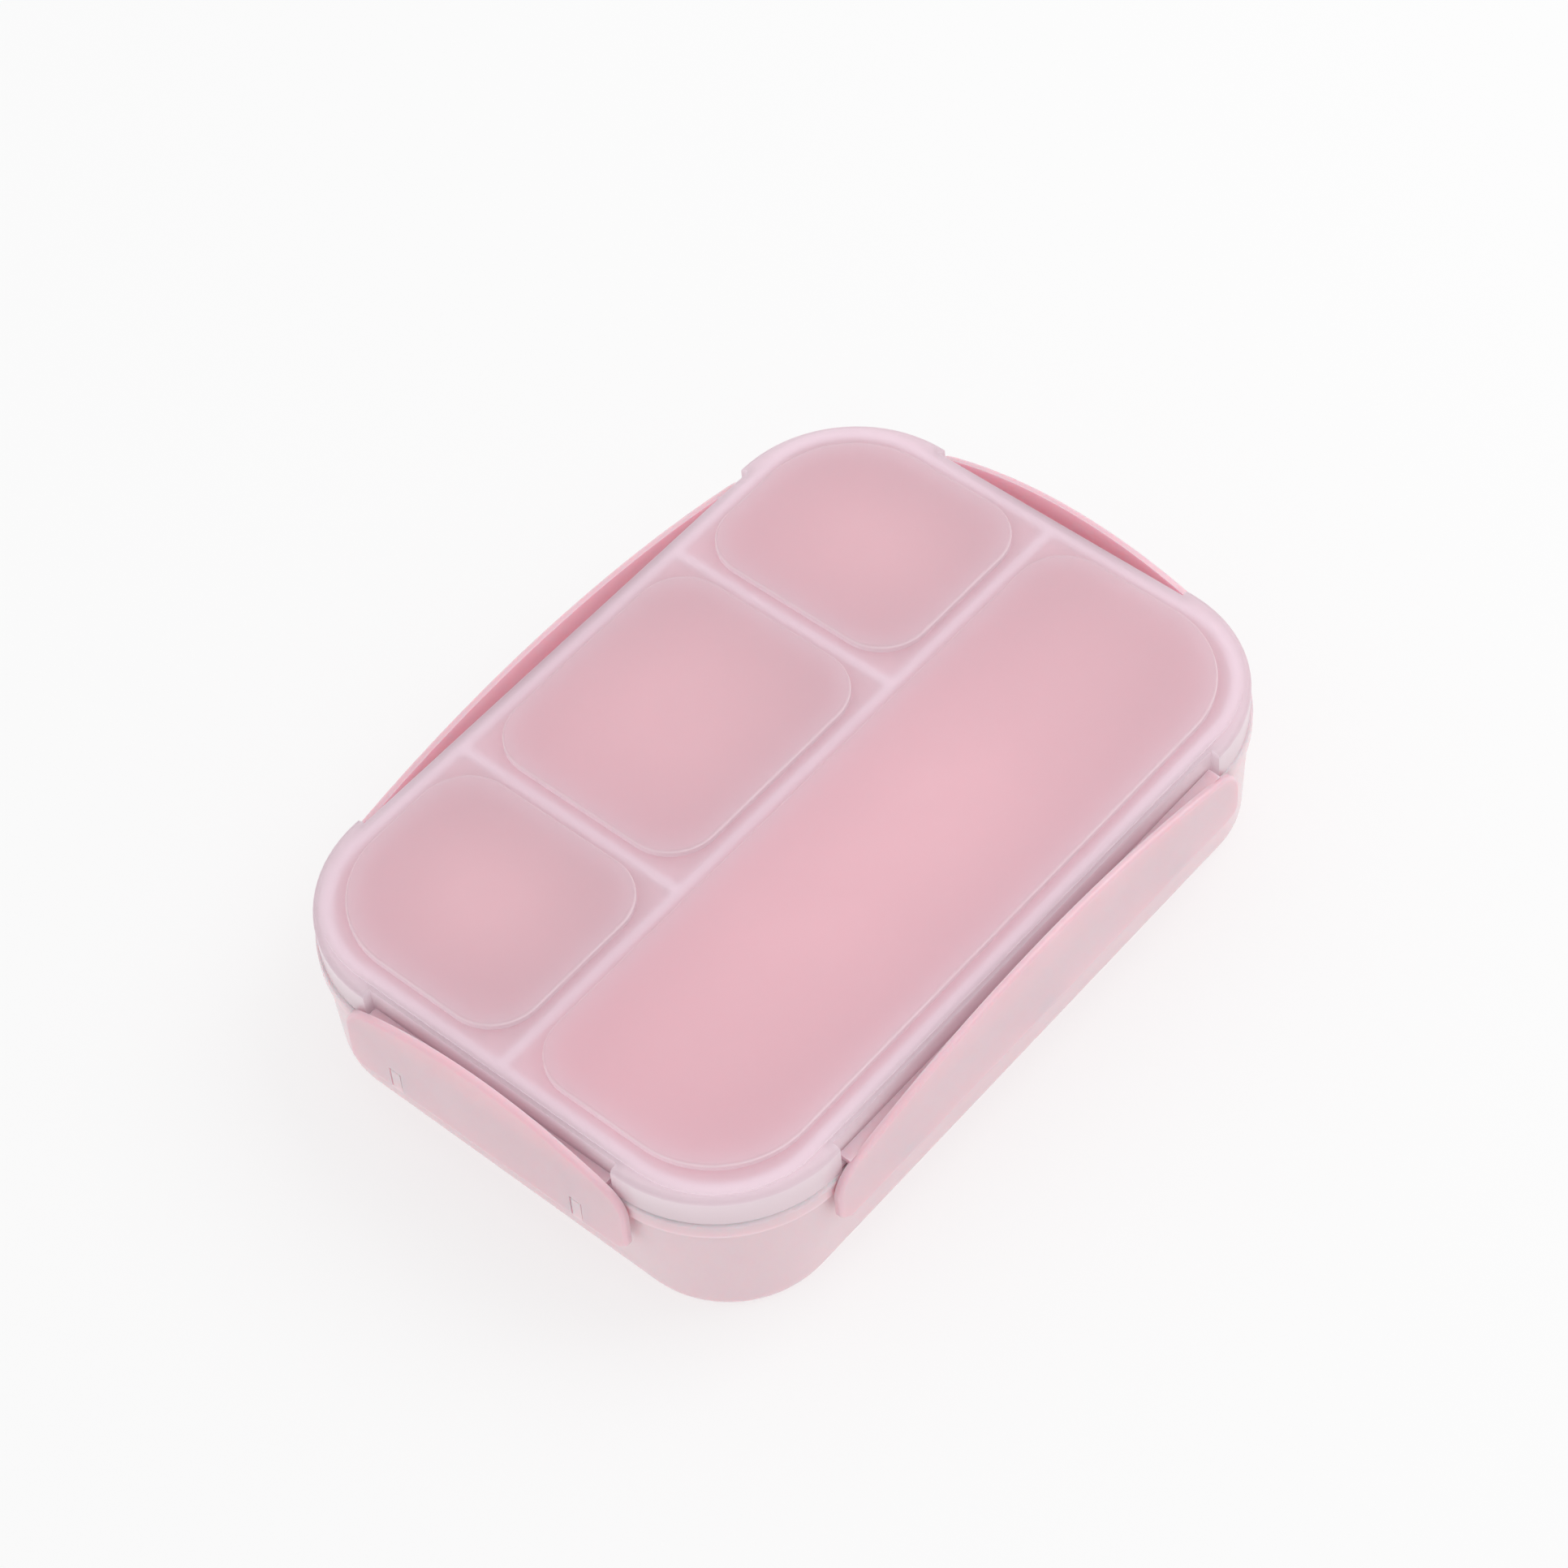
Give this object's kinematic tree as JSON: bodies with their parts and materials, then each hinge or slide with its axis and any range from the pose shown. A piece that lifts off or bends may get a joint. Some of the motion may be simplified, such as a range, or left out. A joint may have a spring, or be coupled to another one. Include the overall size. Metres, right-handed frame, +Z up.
{
  "type": "lunch box",
  "caption": "Flat rectangular lunch box with rounded corners, an inner tray of compartments, a sealed lid and a hinged clip-down latch on each side.",
  "frame": {"origin": "on the ground under the middle of the closed box", "axes": "+X along the length of the box, +Y towards the side with the small compartments, +Z up"},
  "size_m": [0.2336, 0.1664, 0.0521],
  "materials": {
    "shell_plastic": "satin moulded",
    "tray_plastic": "satin moulded",
    "lid_plastic": "satin moulded",
    "seal_rubber": "soft matt silicone",
    "latch_plastic": "satin moulded"
  },
  "bodies": {
    "base": {"base_shell": "shell_plastic", "compartment_tray": "tray_plastic"},
    "lid": {"lid": "lid_plastic", "seal": "seal_rubber"},
    "latch_front": {"long_latch_front": "latch_plastic"},
    "latch_rear": {"long_latch_rear": "latch_plastic"},
    "latch_left": {"short_latch_left": "latch_plastic"},
    "latch_right": {"short_latch_right": "latch_plastic"}
  },
  "joints": [
    {"name": "lid_lift", "type": "slide", "parent": "base", "child": "lid", "axis": [0, 0, 1], "range_m": [0, 0.012]},
    {"name": "front_latch_hinge", "type": "hinge", "parent": "base", "child": "latch_front", "pos_m": [0, -0.0809, 0.0262], "axis": [1, 0, 0], "range_deg": [0, 90]},
    {"name": "rear_latch_hinge", "type": "hinge", "parent": "base", "child": "latch_rear", "pos_m": [0, 0.0809, 0.0262], "axis": [-1, 0, 0], "range_deg": [0, 90]},
    {"name": "left_latch_hinge", "type": "hinge", "parent": "base", "child": "latch_left", "pos_m": [-0.1145, 0, 0.0237], "axis": [0, -1, 0], "range_deg": [0, 90]},
    {"name": "right_latch_hinge", "type": "hinge", "parent": "base", "child": "latch_right", "pos_m": [0.1145, 0, 0.0237], "axis": [0, 1, 0], "range_deg": [0, 90]}
  ],
  "couplings": [
    {"joint": "front_latch_hinge", "follows": "lid_lift", "rad_per_m": 130.8},
    {"joint": "rear_latch_hinge", "follows": "lid_lift", "rad_per_m": 130.8},
    {"joint": "left_latch_hinge", "follows": "lid_lift", "rad_per_m": 130.8},
    {"joint": "right_latch_hinge", "follows": "lid_lift", "rad_per_m": 130.8}
  ]
}
